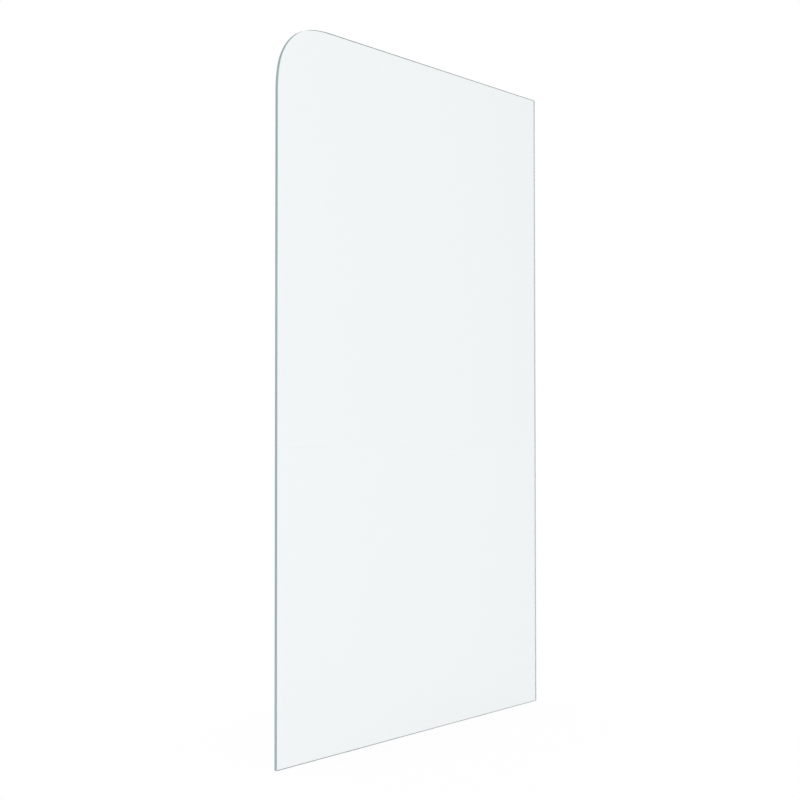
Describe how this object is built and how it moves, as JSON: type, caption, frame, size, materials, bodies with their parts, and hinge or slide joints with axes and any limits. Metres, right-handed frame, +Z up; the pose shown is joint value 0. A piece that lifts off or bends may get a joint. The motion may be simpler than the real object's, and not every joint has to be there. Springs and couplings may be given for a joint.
{
  "type": "curved shower panel",
  "caption": "Flat frameless pane of clear toughened glass with a large round top corner, standing on clear setting blocks, that screens a walk-in shower from the wall outwards.",
  "frame": {"origin": "middle of the pane in plan, on the floor under the setting blocks", "axes": "+X along the pane from the free side, which has the round corner, to the wall side; +Y through the glass; +Z up"},
  "size_m": [1.2, 0.01, 2.002],
  "materials": {
    "clear_glass": "polished",
    "clear_vinyl": "satin"
  },
  "bodies": {
    "root": {"glass_pane": "clear_glass", "setting_block_free": "clear_vinyl", "setting_block_wall": "clear_vinyl"}
  },
  "joints": []
}
